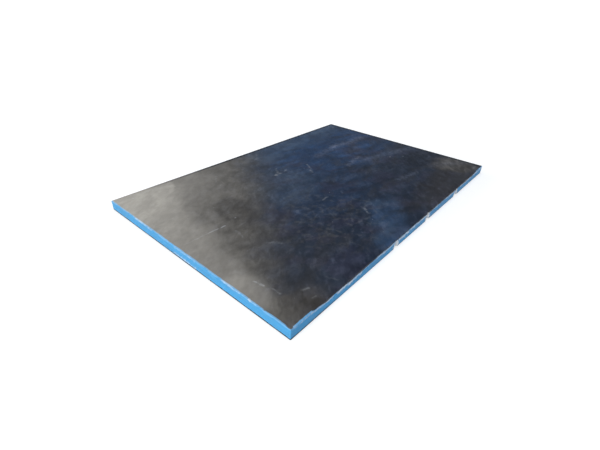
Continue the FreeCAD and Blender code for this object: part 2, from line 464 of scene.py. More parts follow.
def measure_frame():
    """The sheet's main sizes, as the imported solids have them."""
    seal_low, seal_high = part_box("edge_seal")
    film_low, film_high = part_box("top_film")
    core_low, core_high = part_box("veneer_core")
    return SimpleNamespace(
        half_x=seal_high.x,
        half_y=seal_high.y,
        top=film_high.z,
        film=film_high.z - film_low.z,
        arris=seal_high.x - film_high.x,
        coat=seal_high.x - core_high.x,
        reveal=film_high.z - seal_high.z,
        core_low=core_low.z,
        core_high=core_high.z,
    )


def ply_pitch(form, sizes):
    """Thickness of one ply."""
    return (form.core_high - form.core_low) / sizes.ply_count


# Mesh helpers


def add_mesh(name, points, faces, material):
    """A new mesh object in the scene, at the origin."""
    mesh = bpy.data.meshes.new(name)
    mesh.from_pydata(points, [], faces)
    mesh.materials.append(material)
    mesh.validate()
    piece = bpy.data.objects.new(name, mesh)
    bpy.context.scene.collection.objects.link(piece)
    return piece


def plate_faces(rows, columns, base=0):
    """Faces of a closed plate between two grids of points, the second listed right after the first."""
    shift = rows * columns
    faces = []
    for row in range(rows - 1):
        for column in range(columns - 1):
            first = base + row * columns + column
            quad = (first, first + 1, first + 1 + columns, first + columns)
            faces.append(quad)
            faces.append(tuple(index + shift for index in reversed(quad)))
    rim = list(range(columns))
    rim += [row * columns + columns - 1 for row in range(1, rows)]
    rim += [(rows - 1) * columns + column for column in range(columns - 2, -1, -1)]
    rim += [row * columns for row in range(rows - 2, 0, -1)]
    for start, end in zip(rim, rim[1:] + rim[:1]):
        faces.append((base + end, base + start, base + start + shift, base + end + shift))
    return faces


def flipped(faces):
    """The same faces, turned inside out."""
    return [tuple(reversed(face)) for face in faces]


def smooth(piece, angle):
    """Shade a piece smooth, with edges sharper than the angle kept crisp."""
    mesh = piece.data
    mesh.polygons.foreach_set("use_smooth", [True] * len(mesh.polygons))
    mesh.set_sharp_from_angle(angle=math.radians(angle))


def declare(piece, node):
    """Put a piece on its body and hide the imported part that it stands for."""
    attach(piece, BODY)
    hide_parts(node)


def wander(x, y, z, octaves=4):
    """Smooth noise from 0 to 1, the same at each run."""
    value = noise.fractal(Vector((x, y, z)), 0.9, 2.0, octaves)
    return min(1.0, max(0.0, 0.5 + 0.5 * value))


def uneven(share, x, y, z):
    """A factor that wanders up from a least value; the share is that value and its spread."""
    least, spread = share
    return least + spread * wander(x, y, z)


def ease(value, low, high):
    """A smooth step from 0 to 1 between low and high."""
    share = min(1.0, max(0.0, (value - low) / (high - low)))
    return share * share * (3 - 2 * share)


def between(value, stops):
    """A value on a line through (place, value) stops."""
    for (place, start), (following, end) in zip(stops, stops[1:]):
        if value <= following:
            share = (value - place) / (following - place)
            return start + (end - start) * max(0.0, share)
    return stops[-1][1]


# Films


def grid_lines(half, corner, step):
    """Coordinates of mesh lines from -half to half, with two lines within each round corner."""
    inner = half - corner
    count = math.ceil(2 * inner / step)
    middle = [-inner + 2 * inner * index / count for index in range(count + 1)]
    return [-half, -half + corner / 2, *middle, half - corner / 2, half]


def round_corner(x, y, half_x, half_y, corner):
    """Move a grid point so that the grid's square corners become round."""
    near_x = min(max(x, corner - half_x), half_x - corner)
    near_y = min(max(y, corner - half_y), half_y - corner)
    out_x = x - near_x
    out_y = y - near_y
    if not out_x or not out_y:
        return x, y
    pull = max(abs(out_x), abs(out_y)) / math.hypot(out_x, out_y)
    return near_x + out_x * pull, near_y + out_y * pull


def film_relief(x, y, seed):
    """How far the film lies below its flat: the veneer's faint waves and pores."""
    waves = wander(x * 8, y * 14, seed, 2)
    pores = wander(x * 50, y * 60, seed + 5, 2)
    return FILM_WAVES * waves + FILM_PORES * pores


def build_film(name, low, high, sizes, outer_sign, material):
    """A film as a closed plate, with relief on its outer side (+1 up, -1 down)."""
    corner = sizes.face_corner
    xs = grid_lines(high.x, corner, sizes.film_step)
    ys = grid_lines(high.y, corner, sizes.film_step)
    outer_z, inner_z = (high.z, low.z) if outer_sign > 0 else (low.z, high.z)
    outer = []
    inner = []
    for y in ys:
        for x in xs:
            px, py = round_corner(x, y, high.x, high.y, corner)
            outer.append((px, py, outer_z - outer_sign * film_relief(px, py, outer_sign)))
            inner.append((px, py, inner_z))
    faces = plate_faces(len(ys), len(xs))
    if outer_sign < 0:
        faces = flipped(faces)
    piece = add_mesh(name, outer + inner, faces, material)
    smooth(piece, 30)
    return piece


# Edge paint


def outline(form, sizes, step):
    """Stations round the sheet and its round corners: point, outward normal, distance run."""
    radius = sizes.face_corner + form.arris
    reach = Vector((form.half_x - radius, form.half_y - radius))
    centres = [reach * Vector(signs) for signs in ((1, -1), (1, 1), (-1, 1), (-1, -1))]
    stations = []
    run = 0.0
    for turn, centre in enumerate(centres):
        for index in range(CORNER_STEPS + 1):
            angle = math.radians(90 * (turn - 1 + index / CORNER_STEPS))
            normal = Vector((math.cos(angle), math.sin(angle)))
            stations.append((centre + normal * radius, normal, run))
            run += math.radians(90 / CORNER_STEPS) * radius
        start = centre + normal * radius
        end = centres[(turn + 1) % len(centres)] + normal * radius
        length = (end - start).length
        count = math.ceil(length / step)
        for index in range(1, count):
            share = index / count
            stations.append((start.lerp(end, share), normal, run + share * length))
        run += length
    return stations


def section_points(stations, sections):
    """Points of a cross-section at each station, given as (inset from the outline, height) pairs."""
    points = []
    for (point, normal, _), section in zip(stations, sections):
        for inset, height in section:
            place = point - normal * inset
            points.append((place.x, place.y, height))
    return points


def ply_ridge(z, form, sizes):
    """How far a ply stands out under the paint at a height, from 0 to 1."""
    share = (z - form.core_low) / ply_pitch(form, sizes) % 1.0
    return 1 - ease(abs(share - 0.5) * 2, 0.55, 1.0)


def lap_at(point, normal, run, form, sizes):
    """How far the paint reaches over the upper film at a station of the outline."""
    near_side = ease(-normal.x, 0.2, 0.8)
    long_side = ease(-normal.y, 0.2, 0.8) * (1 - ease(point.x + form.half_x, *LAP_END))
    ragged = uneven(LAP_SHARE, run / LAP_RAGS, 9.0, 0.0)
    daubed = LAP_DAUB_SHARE * near_side * ease(wander(run / LAP_DAUBS, 2.0, 0.0), 0.4, 0.7)
    return (sizes.lip_width + sizes.lap_width * max(near_side, long_side)) * (ragged + daubed)


def seal_profile(point, normal, run, form, sizes):
    """A cross-section of the paint as (inset, height) pairs, from the upper lip down and back up inside."""
    lip = sizes.lip_height
    lap = lap_at(point, normal, run, form, sizes)
    top = form.top
    arris = form.arris
    worn_side = 1.0 if normal.y < -0.5 else DENT_ELSEWHERE
    dent = sizes.arris_dents * worn_side * ease(wander(run / DENT_LENGTH, 4.0, 7.0), 0.45, 0.8)
    section = [
        (arris + lap, top + 0.1 * lip),
        (arris + 0.6 * lap, top + lip),
        (arris, top + 0.7 * lip),
    ]
    for index in range(1, ARRIS_STEPS + 1):
        angle = math.radians(90) * index / ARRIS_STEPS
        sink = dent * math.sin(2 * angle)
        inset = arris * (1 - math.sin(angle)) + sink * math.sin(angle)
        section.append((inset, top - arris * (1 - math.cos(angle)) - sink * math.cos(angle)))
    flat = top - 2 * arris
    flat_steps = round(flat / EDGE_ROW)
    for index in range(1, flat_steps):
        height = top - arris - flat * index / flat_steps
        ridge = ply_ridge(height, form, sizes)
        runs = wander(run / RUNS_SPAN[0], height / RUNS_SPAN[1], 3.0)
        grain = wander(run / GRAIN_SPAN[0], height / GRAIN_SPAN[1], 8.0)
        section.append((PAINT_PLIES * (1 - ridge) + PAINT_RUNS * runs + PAINT_GRAIN * grain, height))
    for index in range(ARRIS_STEPS + 1):
        angle = math.radians(90) * (1 - index / ARRIS_STEPS)
        height = form.reveal + (arris - form.reveal) * (1 - math.cos(angle))
        section.append((arris * (1 - math.sin(angle)), height))
    slope = arris - form.coat
    section += [
        (arris, form.film),
        (form.coat, form.film + slope),
        (form.coat, top - form.film - slope),
        (arris, top - form.film),
        (arris, top),
    ]
    return section


def build_seal(form, sizes, material):
    """The coat of paint as one closed band round the sheet."""
    stations = outline(form, sizes, sizes.seal_step)
    sections = [seal_profile(*station, form, sizes) for station in stations]
    points = section_points(stations, sections)
    ring = len(sections[0])
    faces = []
    for index in range(len(stations)):
        here = index * ring
        there = (index + 1) % len(stations) * ring
        for step in range(ring):
            following = (step + 1) % ring
            faces.append((here + step, here + following, there + following, there + step))
    return add_mesh("edge_paint", points, faces, material)


# Core and chips


def build_core(form, sizes, material):
    """The pressed veneers as one slab with eased arrises, under the films and the paint."""
    slope = form.arris - form.coat
    levels = [
        (form.arris, form.core_low),
        (form.coat, form.core_low + slope),
        (form.coat, form.core_high - slope),
        (form.arris, form.core_high),
    ]
    stations = outline(form, sizes, CORE_STEP)
    points = [place for level in levels for place in section_points(stations, [[level]] * len(stations))]
    ring = len(stations)
    faces = [tuple(reversed(range(ring)))]
    for level in range(len(levels) - 1):
        low = level * ring
        high = low + ring
        for index in range(ring):
            following = (index + 1) % ring
            faces.append((low + index, low + following, high + following, high + index))
    faces.append(tuple(range(high, high + ring)))
    return add_mesh("veneer_plies", points, faces, material)


def chip_layers(form, sizes):
    """Lower and upper height of the layers that a chip breaks through: the lower film, then each ply."""
    pitch = ply_pitch(form, sizes)
    seams = [form.core_low + pitch * ply for ply in range(sizes.ply_count + 1)]
    return [(-CUTTER_BELOW, form.core_low), *zip(seams, seams[1:])]


def chip_surface(chip, seed, form, sizes):
    """Rows of (x, height, depth) over a chip; a depth below nought lies outside the sheet."""
    widths = [
        (0, chip.foot / 2),
        (CHIP_LEDGE_HEIGHT, CHIP_LEDGE_WIDTH / 2),
        (chip.crest, CHIP_CREST_WIDTH / 2),
    ]
    depths = [
        (0, CHIP_DEPTH),
        (CHIP_LEDGE_HEIGHT, CHIP_DEPTH),
        (CHIP_LEDGE_HEIGHT + CUTTER_SEAM, CHIP_LEDGE_DEPTH),
        (chip.crest, CHIP_CREST_DEPTH),
    ]
    reach = chip.foot / 2 / math.cos(CHIP_TURN) + CUTTER_SIDES + abs(chip.lean)
    rows = []
    for layer, (low, high) in enumerate(chip_layers(form, sizes)):
        middle = max(0.0, (low + high) / 2)
        half = between(middle, widths)
        near_half = half * uneven(NEAR_WALL, seed * 3.1, layer * 1.7, 0.0)
        far_half = half * uneven(FAR_WALL, seed * 3.1, layer * 1.7, 9.0)
        depth = between(middle, depths) * uneven(PLY_DEPTH, seed * 5.3, layer * 1.3, 4.0)
        shift = chip.lean * middle / chip.crest
        for height in (low + CUTTER_SEAM, (low + high) / 2, high - CUTTER_SEAM):
            row = []
            for column in range(CUTTER_COLUMNS + 1):
                along = reach * (2 * column / CUTTER_COLUMNS - 1)
                side = along - shift
                floor = depth / math.cos(CHIP_TURN) + side * math.tan(CHIP_TURN)
                far_wall = (far_half - side * math.cos(CHIP_TURN)) / math.sin(CHIP_TURN)
                torn = uneven(TORN_FLOOR, along / TEAR_LENGTH, height / TEAR_HEIGHT, seed)
                hollow = min(floor, far_wall) * torn
                past_near_wall = side * math.cos(CHIP_TURN) > -near_half
                broken = middle < chip.crest and hollow > 0 and past_near_wall
                row.append((chip.place + along, height, hollow if broken else -CUTTER_CLEAR))
            rows.append(row)
    return rows


def build_cutter(form, sizes, material):
    """A closed solid over each chip whose inner face is the broken surface."""
    face_y = -form.half_y
    points = []
    faces = []
    for seed, chip in enumerate(CHIPS, start=1):
        rows = chip_surface(chip, seed, form, sizes)
        faces += flipped(plate_faces(len(rows), len(rows[0]), base=len(points)))
        points += [(x, face_y + depth, height) for row in rows for x, height, depth in row]
        points += [(x, face_y - CUTTER_FRONT, height) for row in rows for x, height, _ in row]
    return add_mesh("chip_cutter", points, faces, material)


def break_out_chips(piece, form, sizes, material):
    """Take the chips out of a piece for good."""
    cutter = build_cutter(form, sizes, material)
    change = piece.modifiers.new("chips", "BOOLEAN")
    change.operation = "DIFFERENCE"
    change.solver = "EXACT"
    change.object = cutter
    graph = bpy.context.evaluated_depsgraph_get()
    carved = bpy.data.meshes.new_from_object(piece.evaluated_get(graph))
    piece.modifiers.remove(change)
    whole = piece.data
    piece.data = carved
    bpy.data.meshes.remove(whole)
    bpy.data.objects.remove(cutter)


# Node helpers


class Nodes:
    """Places nodes in a tree and joins them; an input takes a socket or a plain value."""

    def __init__(self, tree):
        self.tree = tree

    def add(self, kind, inputs=None, **settings):
        """A new node with its inputs fed and its settings made."""
        node = self.tree.nodes.new(kind)
        for name, value in settings.items():
            setattr(node, name, value)
        for name, value in (inputs or {}).items():
            self.feed(node.inputs[name], value)
        return node

    def feed(self, socket, value):
        """Link a socket to an input, or set a plain value on it."""
        if isinstance(value, bpy.types.NodeSocket):
            self.tree.links.new(value, socket)
        else:
            socket.default_value = value

    def math(self, operation, *values, clamp=False):
        inputs = dict(enumerate(values))
        return self.add("ShaderNodeMath", inputs, operation=operation, use_clamp=clamp).outputs[0]

    def product(self, one, *others):
        for other in others:
            one = self.math("MULTIPLY", one, other)
        return one

    def largest(self, one, *others):
        for other in others:
            one = self.math("MAXIMUM", one, other)
        return one

    def total(self, one, *others):
        """A sum that stays between 0 and 1."""
        for other in others:
            one = self.math("ADD", one, other, clamp=True)
        return one

    def vector(self, operation, one, two=(0, 0, 0)):
        node = self.add("ShaderNodeVectorMath", {0: one, 1: two}, operation=operation)
        measured = operation in ("DOT_PRODUCT", "LENGTH", "DISTANCE")
        return node.outputs["Value" if measured else "Vector"]

    def scaled(self, vector, factor):
        inputs = {0: vector, "Scale": factor}
        return self.add("ShaderNodeVectorMath", inputs, operation="SCALE").outputs["Vector"]

    def blend(self, factor, one, two, mode="MIX"):
        node = self.add("ShaderNodeMix", {0: factor, 6: one, 7: two}, data_type="RGBA", blend_type=mode)
        return node.outputs[2]

    def step(self, value, low, high, start=0.0, end=1.0):
        """Goes smoothly from start to end as a value goes from low to high."""
        limits = {"Value": value, "From Min": low, "From Max": high, "To Min": start, "To Max": end}
        return self.add("ShaderNodeMapRange", limits, interpolation_type="SMOOTHSTEP").outputs["Result"]

    def vary(self, mask, start, end):
        """Goes smoothly from start to end as a mask goes from 0 to 1."""
        return self.step(mask, 0.0, 1.0, start, end)

    def noise(self, vector, scale, detail=4.0, roughness=0.55, distortion=0.0):
        inputs = {
            "Vector": vector,
            "Scale": scale,
            "Detail": detail,
            "Roughness": roughness,
            "Distortion": distortion,
        }
        return self.add("ShaderNodeTexNoise", inputs).outputs[0]

    def swing(self, vector, **settings):
        """Noise about nought."""
        return self.math("SUBTRACT", self.noise(vector, **settings), 0.5)

    def stretched_noise(self, vector, stretch, **settings):
        """Noise with its own number of waves in a metre along each axis."""
        return self.noise(self.vector("MULTIPLY", vector, stretch), scale=1.0, **settings)

    def drift(self, vector, scale):
        """A wandering vector whose parts lie between 0 and 1."""
        inputs = {"Vector": vector, "Scale": scale, "Detail": 3.0}
        return self.add("ShaderNodeTexNoise", inputs).outputs["Color"]

    def bump(self, height, strength, distance):
        inputs = {"Height": height, "Strength": strength, "Distance": distance}
        return self.add("ShaderNodeBump", inputs).outputs["Normal"]

    def group(self, tree, **inputs):
        """The outputs of a shared effect; an input's name may have _ for a space."""
        named = {name.replace("_", " ").capitalize(): value for name, value in inputs.items()}
        return self.add("ShaderNodeGroup", named, node_tree=tree).outputs

    def separate(self, vector):
        return self.add("ShaderNodeSeparateXYZ", {0: vector}).outputs

    def join(self, x, y, z):
        return self.add("ShaderNodeCombineXYZ", {0: x, 1: y, 2: z}).outputs[0]

    def coordinates(self):
        return self.add("ShaderNodeTexCoord").outputs["Object"]


def rgba(colour, factor=1.0):
    """A colour property as a socket value, made darker or lighter by a factor."""
    return (*(channel * factor for channel in colour), 1.0)


def on_face(point):
    """A place on a face, given in millimetres, as a vector in metres."""
    return (point[0] * MM, point[1] * MM, 0.0)


def effect(name, maker, *inputs):
    """A shared node group, built the first time that it is asked for."""
    return bpy.data.node_groups.get(name) or maker(*inputs)


def new_group(name, vectors, floats, outputs=(("Mask", "Float"),)):
    """A shader node group with named sockets: its tree, its nodes, its inputs and its outputs."""
    tree = bpy.data.node_groups.new(name, "ShaderNodeTree")
    sockets = [(socket, "INPUT", "Vector") for socket in vectors]
    sockets += [(socket, "INPUT", "Float") for socket in floats]
    sockets += [(socket, "OUTPUT", kind) for socket, kind in outputs]
    for socket, way, kind in sockets:
        tree.interface.new_socket(name=socket, in_out=way, socket_type=f"NodeSocket{kind}")
    nodes = Nodes(tree)
    entry = nodes.add("NodeGroupInput").outputs
    leave = nodes.add("NodeGroupOutput").inputs
    return tree, nodes, entry, leave


def new_material(name, **constants):
    """A material with a principled shader whose constant values are set on its own sockets."""
    material = bpy.data.materials.new(name)
    material.use_nodes = True
    nodes = Nodes(material.node_tree)
    shader = material.node_tree.nodes["Principled BSDF"]
    for socket, value in constants.items():
        shader.inputs[socket.replace("_", " ")].default_value = value
    return material, nodes, shader


# Shared effects


def make_soft_front():
    """A haze that rises along a direction from an origin over a reach, with a wandering front."""
    vectors = ["Vector", "Origin", "Direction"]
    tree, nodes, entry, leave = new_group("Soft front", vectors, ["Reach", "Wander"])
    from_origin = nodes.vector("SUBTRACT", entry["Vector"], entry["Origin"])
    along = nodes.vector("DOT_PRODUCT", from_origin, entry["Direction"])
    share = nodes.math("DIVIDE", along, entry["Reach"])
    drift = nodes.swing(entry["Vector"], scale=8.0, detail=6.0, roughness=0.62, distortion=0.5)
    nodes.feed(leave["Mask"], nodes.math("MULTIPLY_ADD", drift, entry["Wander"], share, clamp=True))
    return tree


def make_soft_patch():
    """A round or oval patch with a wandering edge."""
    tree, nodes, entry, leave = new_group("Soft patch", ["Vector", "Centre", "Radii"], ["Wander"])
    from_centre = nodes.vector("SUBTRACT", entry["Vector"], entry["Centre"])
    share = nodes.vector("LENGTH", nodes.vector("DIVIDE", from_centre, entry["Radii"]))
    drift = nodes.swing(entry["Vector"], scale=11.0, detail=6.0, roughness=0.62, distortion=0.6)
    wandered = nodes.math("MULTIPLY_ADD", drift, entry["Wander"], share)
    nodes.feed(leave["Mask"], nodes.step(wandered, 0.45, 1.0, 1.0, 0.0))
    return tree


def make_stroke():
    """A ragged stroke between two points of a flat face."""
    tree, nodes, entry, leave = new_group("Stroke", ["Vector", "Start", "End"], ["Half width", "Strength"])
    offset = nodes.vector("SUBTRACT", nodes.drift(entry["Vector"], 70.0), (0.5, 0.5, 0.5))
    shaken = nodes.vector("MULTIPLY", offset, (8 * MM, 8 * MM, 0.0))
    to_point = nodes.vector("SUBTRACT", nodes.vector("ADD", entry["Vector"], shaken), entry["Start"])
    span = nodes.vector("SUBTRACT", entry["End"], entry["Start"])
    along = nodes.vector("DOT_PRODUCT", to_point, span)
    share = nodes.math("DIVIDE", along, nodes.vector("DOT_PRODUCT", span, span), clamp=True)
    distance = nodes.vector("DISTANCE", to_point, nodes.scaled(span, share))
    ragged = nodes.noise(entry["Vector"], scale=150.0, detail=4.0, roughness=0.65)
    width = nodes.math("MULTIPLY", entry["Half width"], nodes.step(ragged, 0.2, 0.8, 0.3, 1.7))
    inside = nodes.vary(nodes.math("DIVIDE", distance, width), 1.0, 0.0)
    broken = nodes.step(nodes.noise(entry["Vector"], scale=90.0, detail=3.0), 0.34, 0.60, 0.2, 1.0)
    nodes.feed(leave["Mask"], nodes.product(inside, broken, entry["Strength"]))
    return tree


def stroke_mask(nodes, vector, mark):
    """A stroke as the marks are listed: start, end and half width in millimetres, and strength."""
    start, end, half_width, strength = mark
    inputs = {"start": on_face(start), "end": on_face(end), "half_width": half_width * MM}
    stroke = effect("Stroke", make_stroke)
    return nodes.group(stroke, vector=vector, strength=strength, **inputs)["Mask"]


def make_smears():
    """Wiped smears: noise stretched along one direction, cut off between two levels."""
    floats = ["Turn", "Detail", "Low", "High"]
    tree, nodes, entry, leave = new_group("Smears", ["Vector", "Stretch"], floats)
    turn = {"Vector": entry["Vector"], "Angle": entry["Turn"]}
    turned = nodes.add("ShaderNodeVectorRotate", turn, rotation_type="Z_AXIS").outputs["Vector"]
    grain = {"detail": entry["Detail"], "roughness": 0.62, "distortion": 0.35}
    texture = nodes.stretched_noise(turned, entry["Stretch"], **grain)
    nodes.feed(leave["Mask"], nodes.step(texture, entry["Low"], entry["High"]))
    return tree


def make_specks():
    """Scattered specks of grit: one round speck of its own size in some of the cells."""
    tree, nodes, entry, leave = new_group("Specks", ["Vector"], ["Scale", "Size", "Share"])
    spread = {"Vector": entry["Vector"], "Scale": entry["Scale"]}
    cells = nodes.add("ShaderNodeTexVoronoi", spread).outputs
    draw = nodes.separate(cells["Color"])
    size = nodes.math("MULTIPLY", entry["Size"], draw["Y"])
    round_speck = nodes.step(nodes.math("DIVIDE", cells["Distance"], size), 0.5, 1.0, 1.0, 0.0)
    chosen = nodes.math("LESS_THAN", draw["X"], entry["Share"])
    nodes.feed(leave["Mask"], nodes.math("MULTIPLY", round_speck, chosen))
    return tree


def make_web():
    """A net of dried residue: thin broken lines between wandering cells."""
    tree, nodes, entry, leave = new_group("Web", ["Vector"], ["Scale", "Line"])
    offset = nodes.scaled(nodes.drift(entry["Vector"], 40.0), 12 * MM)
    spread = {"Vector": nodes.vector("ADD", entry["Vector"], offset), "Scale": entry["Scale"]}
    cells = nodes.add("ShaderNodeTexVoronoi", spread, feature="DISTANCE_TO_EDGE").outputs
    line = nodes.vary(nodes.math("DIVIDE", cells["Distance"], entry["Line"]), 1.0, 0.0)
    broken = nodes.step(nodes.noise(entry["Vector"], scale=70.0, detail=3.0), 0.42, 0.62)
    nodes.feed(leave["Mask"], nodes.math("MULTIPLY", line, broken))
    return tree


def make_plies():
    """The stack of plies over a height: 0 or 1 by turns, and the glue lines between."""
    floats = ["Height", "Floor", "Pitch", "Line"]
    tree, nodes, entry, leave = new_group("Plies", [], floats, [("Turn", "Float"), ("Glue", "Float")])
    count = nodes.math("DIVIDE", nodes.math("SUBTRACT", entry["Height"], entry["Floor"]), entry["Pitch"])
    nodes.feed(leave["Turn"], nodes.math("MODULO", nodes.math("FLOOR", count), 2.0))
    to_line = nodes.math("ABSOLUTE", nodes.math("SUBTRACT", nodes.math("FRACT", count), 0.5))
    nodes.feed(leave["Glue"], nodes.step(to_line, nodes.math("SUBTRACT", 0.5, entry["Line"]), 0.5))
    return tree


def ply_stack(nodes, height, form, sizes, line):
    """The sheet's own plies, with glue lines of a share of a ply."""
    layers = {"floor": form.core_low, "pitch": ply_pitch(form, sizes), "line": line}
    return nodes.group(effect("Plies", make_plies), height=height, **layers)


# The film's resin and dust, with its painted sheen, reflection and shade


class FilmMasks:
    """Masks over the film, made by the shared effects from places and sizes in millimetres."""

    def __init__(self, nodes, flat):
        self.nodes = nodes
        self.flat = flat
        self.smears = {name: self.smear(*values) for name, values in SMEARS.items()}
        self.calm = nodes.vary(self.patch(*CALM_PATCH), 1.0, 0.2)

    def smear(self, stretch, turn, levels, detail):
        """A wiped texture."""
        inputs = {"stretch": (*stretch, 1), "turn": math.radians(turn), "detail": detail}
        limits = {"low": levels[0], "high": levels[1]}
        return self.nodes.group(effect("Smears", make_smears), vector=self.flat, **inputs, **limits)["Mask"]

    def patch(self, centre, radii, ragged, strength):
        """An oval patch."""
        inputs = {"centre": on_face(centre), "radii": (radii[0] * MM, radii[1] * MM, 1), "wander": ragged}
        mask = self.nodes.group(effect("Soft patch", make_soft_patch), vector=self.flat, **inputs)["Mask"]
        return mask if strength == 1.0 else self.nodes.product(mask, strength)

    def patches(self, places):
        """The strongest of several patches."""
        return self.nodes.largest(*(self.patch(*place) for place in places))

    def front(self, origin, direction, reach, ragged):
        """A front of haze."""
        inputs = {"origin": on_face(origin), "direction": (*direction, 0), "reach": reach * MM}
        soft_front = effect("Soft front", make_soft_front)
        return self.nodes.group(soft_front, vector=self.flat, wander=ragged, **inputs)["Mask"]


def tint_resin(nodes, masks, colours):
    """The resin under the dust and painted sheen: navy patches and a pale lift that are a painted reflection
    of a blue sky, violet and brown casts, soot and a warm grey front.
    """
    smears = masks.smears
    # Painted reflection of a blue sky: the navy patches and the blue band.
    blue_band = masks.patches(BLUE_BAND)
    navy = nodes.largest(masks.patches(NAVY_PATCHES), blue_band)
    navy = nodes.product(navy, nodes.vary(smears["wiped"], 0.55, 1.0))
    colour = nodes.blend(navy, rgba(colours.film), rgba(colours.film_navy))
    violet = nodes.product(smears["violet"], masks.calm, VIOLET_CAST)
    colour = nodes.blend(violet, colour, rgba(colours.film_violet))
    brown = nodes.product(smears["brown"], masks.calm, BROWN_CAST)
    colour = nodes.blend(brown, colour, rgba(colours.film_warm))
    soot = nodes.product(smears["sooty"], SOOT_SMEARS)
    for patch, levels, strength in SOOT_PATCHES:
        firm_patch = nodes.step(masks.patch(*patch), *levels)
        soot = nodes.largest(soot, nodes.product(firm_patch, strength))
    colour = nodes.blend(soot, colour, rgba(colours.film, 0.55))
    # Painted reflection of a pale sky: a lighter blue at the far front, in the middle and over the blue band.
    painted_sky_reflection = nodes.largest(
        nodes.product(masks.front(*SKY_REFLECTION_FRONT), SKY_REFLECTION_STRENGTH),
        masks.patch(*SKY_REFLECTION_PATCH),
        nodes.product(blue_band, BAND_SKY_REFLECTION),
    )
    painted_sky_reflection = nodes.product(painted_sky_reflection, nodes.vary(smears["cloud"], 0.45, 1.0))
    colour = nodes.blend(painted_sky_reflection, colour, rgba(colours.film_sky_reflection))
    warm = nodes.largest(masks.front(*WARM_FRONT), masks.patches(WARM_PATCHES))
    return nodes.blend(warm, colour, rgba(colours.film_warm))


def spread_dust_and_sheen(nodes, masks):
    """How thick the cement dust, with its painted sheen of a bright sky, lies over the film, and how strong
    the scuffs and streaks are.
    """
    smears = masks.smears
    # Dust with a painted sheen of a bright sky: a cream corner and a grey front, thinner towards the chipped
    # long side.
    cream = nodes.largest(masks.front(*CREAM_FRONT), nodes.step(masks.patch(*CREAM_PATCH), 0.25, 0.55))
    cream = nodes.product(cream, masks.front(*CREAM_FOOT))
    thinned = nodes.vary(masks.front(*DUST_AND_SHEEN_FOOT), THINNED_DUST_AND_SHEEN, 1.0)
    dust_and_sheen = nodes.product(masks.front(*GREY_DUST_AND_SHEEN_FRONT), thinned, nodes.vary(smears["cloud"], *GREY_DUST_AND_SHEEN_LEVELS))
    tail = nodes.product(masks.front(*TAIL_FRONT), TAIL_DUST_AND_SHEEN)
    dust_and_sheen = nodes.total(dust_and_sheen, tail, nodes.product(cream, CREAM_DUST_AND_SHEEN))
    dust_and_sheen = nodes.product(dust_and_sheen, nodes.vary(masks.patch(*WIPED_PATCH), 1.0, WIPED_DUST_AND_SHEEN))
    far_dust = nodes.product(masks.patch(*FAR_DUST), nodes.vary(smears["daubs"], *DAUBED_DUST))
    net = nodes.group(effect("Web", make_web), vector=masks.flat, scale=24.0, line=0.15)["Mask"]
    residue = nodes.product(net, masks.patch(*RESIDUE_PATCH))
    dust_and_sheen = nodes.total(dust_and_sheen, masks.patch(*NEAR_DUST), far_dust, residue)
    scuffed = nodes.total(
        nodes.product(smears["wiped"], smears["daubs"], masks.calm, WIPED_SCUFFS),
        nodes.product(smears["scuffs"], smears["cloud"], masks.calm, FINE_SCUFFS),
        *(stroke_mask(nodes, masks.flat, streak) for streak in STREAKS),
    )
    texture = nodes.product(*(nodes.vary(smears[name], *span) for name, span in DUST_AND_SHEEN_TEXTURES.items()))
    return nodes.product(dust_and_sheen, texture), nodes.product(scuffed, texture)


def make_film_resin(colours):
    """The film's colour, with its dust and painted sheen: blotched where these are thin, and with a painted
    shade along the far rims.
    """
    outputs = [("Color", "Color"), ("Dust and sheen", "Float"), ("Mottle", "Float")]
    tree, nodes, entry, leave = new_group("Film resin", ["Vector"], [], outputs)
    masks = FilmMasks(nodes, entry["Vector"])
    smears = masks.smears
    colour = tint_resin(nodes, masks, colours)
    dust_and_sheen, scuffed = spread_dust_and_sheen(nodes, masks)
    colour = nodes.blend(scuffed, colour, rgba(colours.scuff))
    # Dust, with a painted sheen of a bright sky towards the near end, in the dust colour.
    colour = nodes.blend(dust_and_sheen, colour, rgba(colours.dust_and_sheen))

    blotches = -BLOTCH_MEAN
    for name, weight in BLOTCHES.items():
        blotches = nodes.math("MULTIPLY_ADD", smears[name], weight, blotches)
    depth = nodes.step(dust_and_sheen, *BLOTCH_DUST_AND_SHEEN, *BLOTCH_DEPTH)
    shade = nodes.math("MULTIPLY_ADD", blotches, depth, 1.0)
    colour = nodes.blend(1.0, colour, shade, mode="MULTIPLY")

    # Painted shade: a darker copy of the film colour along the far rims.
    far_rim = nodes.product(masks.front(*FAR_RIM), masks.front(*FAR_RIM_START))
    rims = nodes.product(nodes.largest(far_rim, masks.front(*END_RIM)), RIM_SHADE)
    nodes.feed(leave["Color"], nodes.blend(rims, colour, rgba(colours.film, 0.4)))
    nodes.feed(leave["Dust and sheen"], nodes.total(dust_and_sheen, scuffed))
    nodes.feed(leave["Mottle"], smears["mottle"])
    return tree


def film_resin(nodes, place, colours):
    """The film's colour, its dust and painted sheen, and its mottle at a place, whatever its height."""
    flat = nodes.vector("MULTIPLY", place, (1, 1, 0))
    return flat, nodes.group(effect("Film resin", make_film_resin, colours), vector=flat)


# Finishes


